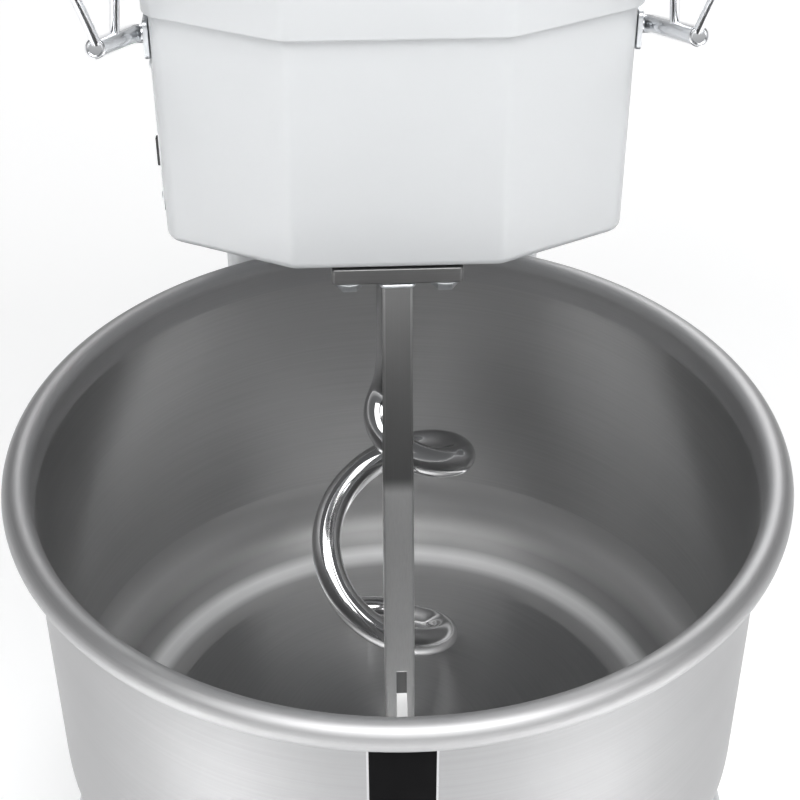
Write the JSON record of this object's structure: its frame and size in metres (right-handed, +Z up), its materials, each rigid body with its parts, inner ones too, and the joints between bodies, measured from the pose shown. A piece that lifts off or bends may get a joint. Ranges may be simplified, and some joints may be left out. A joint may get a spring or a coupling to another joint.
{
  "type": "spiral dough mixer",
  "caption": "Free-standing spiral dough mixer: octagonal painted head on a column, breaker bar and spiral in a turning stainless bowl, raised wire guard.",
  "frame": {"origin": "floor level, centred under the base cabinet", "axes": "+Z up, -Y to the front where the bowl stands, +X to the right when facing the front"},
  "size_m": [0.432, 0.75, 1.1013],
  "materials": {
    "painted_white": "satin",
    "stainless": "brushed",
    "polished_steel": "polished",
    "bearing_steel": "satin",
    "cast_iron": "matte",
    "zinc_steel": "satin",
    "rubber_black": "matte",
    "plastic_black": "satin",
    "plastic_red": "gloss",
    "plastic_green": "gloss",
    "motor_blue": "satin",
    "lens_white": "gloss"
  },
  "bodies": {
    "frame": {"base_shell": "painted_white", "base_plate": "zinc_steel", "foot_fl": "rubber_black", "foot_fr": "rubber_black", "foot_rl": "rubber_black", "foot_rr": "rubber_black", "column_shell": "painted_white", "rear_cover": "painted_white", "cable_gland": "plastic_black", "motor_shelf": "zinc_steel", "gear_housing": "cast_iron", "motor_body": "motor_blue", "motor_fan_cowl": "motor_blue", "motor_terminal_box": "motor_blue", "head_shell": "painted_white", "head_cover": "painted_white", "control_panel": "stainless", "control_box": "plastic_black", "power_lamp": "lens_white", "bowl_bearing_housing": "cast_iron", "bowl_bearing_lower": "bearing_steel", "bowl_bearing_upper": "bearing_steel", "bowl_belt": "rubber_black", "drive_bearing": "cast_iron", "drive_chain": "bearing_steel", "spiral_bearing_housing": "cast_iron", "spiral_bearing_lower": "bearing_steel", "spiral_bearing_upper": "bearing_steel", "spiral_seal": "rubber_black", "breaker_plate": "stainless", "breaker_bolt_l": "zinc_steel", "breaker_bolt_r": "zinc_steel", "breaker_bar": "stainless", "guard_bracket_l": "zinc_steel", "guard_bracket_r": "zinc_steel"},
    "bowl": {"bowl": "stainless", "bowl_label": "plastic_black", "bowl_flange": "stainless", "bowl_shaft": "zinc_steel", "bowl_nut": "zinc_steel", "bowl_pulley": "cast_iron"},
    "spiral": {"spiral_hook": "polished_steel", "spiral_shaft": "zinc_steel", "spiral_sprocket": "bearing_steel"},
    "drive": {"drive_shaft": "zinc_steel", "drive_pulley": "cast_iron", "drive_sprocket": "bearing_steel"},
    "guard": {"guard_arm_l": "polished_steel", "guard_arm_r": "polished_steel", "guard_hoop_outer": "polished_steel", "guard_hoop_inner": "polished_steel", "guard_rib_1": "polished_steel", "guard_rib_2": "polished_steel", "guard_rib_3": "polished_steel"},
    "start": {"start_button": "plastic_green"},
    "stop": {"stop_button": "plastic_red"},
    "estop": {"estop_button": "plastic_red"},
    "timer": {"timer_knob": "plastic_black"},
    "speed": {"speed_selector": "plastic_black"}
  },
  "joints": [
    {"name": "bowl_spin", "type": "hinge", "parent": "frame", "child": "bowl", "pos_m": [0, -0.149, 0.59], "axis": [0, 0, 1], "continuous": true},
    {"name": "spiral_spin", "type": "hinge", "parent": "frame", "child": "spiral", "pos_m": [0, -0.084, 0.7], "axis": [0, 0, 1], "continuous": true},
    {"name": "drive_shaft_spin", "type": "hinge", "parent": "frame", "child": "drive", "pos_m": [0, 0.175, 0.4], "axis": [0, 0, 1], "continuous": true},
    {"name": "guard_hinge", "type": "hinge", "parent": "frame", "child": "guard", "pos_m": [0, -0.114, 0.826], "axis": [1, 0, 0], "range_deg": [0, 88]},
    {"name": "start_press", "type": "slide", "parent": "frame", "child": "start", "axis": [1, 0, 0], "range_m": [0, 0.004], "stiffness_N_per_m": 500},
    {"name": "stop_press", "type": "slide", "parent": "frame", "child": "stop", "axis": [1, 0, 0], "range_m": [0, 0.004], "stiffness_N_per_m": 500},
    {"name": "estop_press", "type": "slide", "parent": "frame", "child": "estop", "axis": [1, 0, 0], "range_m": [0, 0.005], "stiffness_N_per_m": 900},
    {"name": "timer_turn", "type": "hinge", "parent": "frame", "child": "timer", "pos_m": [-0.12, 0.108, 0.76], "axis": [-1, 0, 0], "range_deg": [-300, 0]},
    {"name": "speed_turn", "type": "hinge", "parent": "frame", "child": "speed", "pos_m": [-0.12, -0.069, 0.738], "axis": [-1, 0, 0], "range_deg": [-90, 0]}
  ],
  "couplings": [
    {"joint": "spiral_spin", "follows": "bowl_spin", "ratio": 8},
    {"joint": "drive_shaft_spin", "follows": "bowl_spin", "ratio": 8}
  ]
}
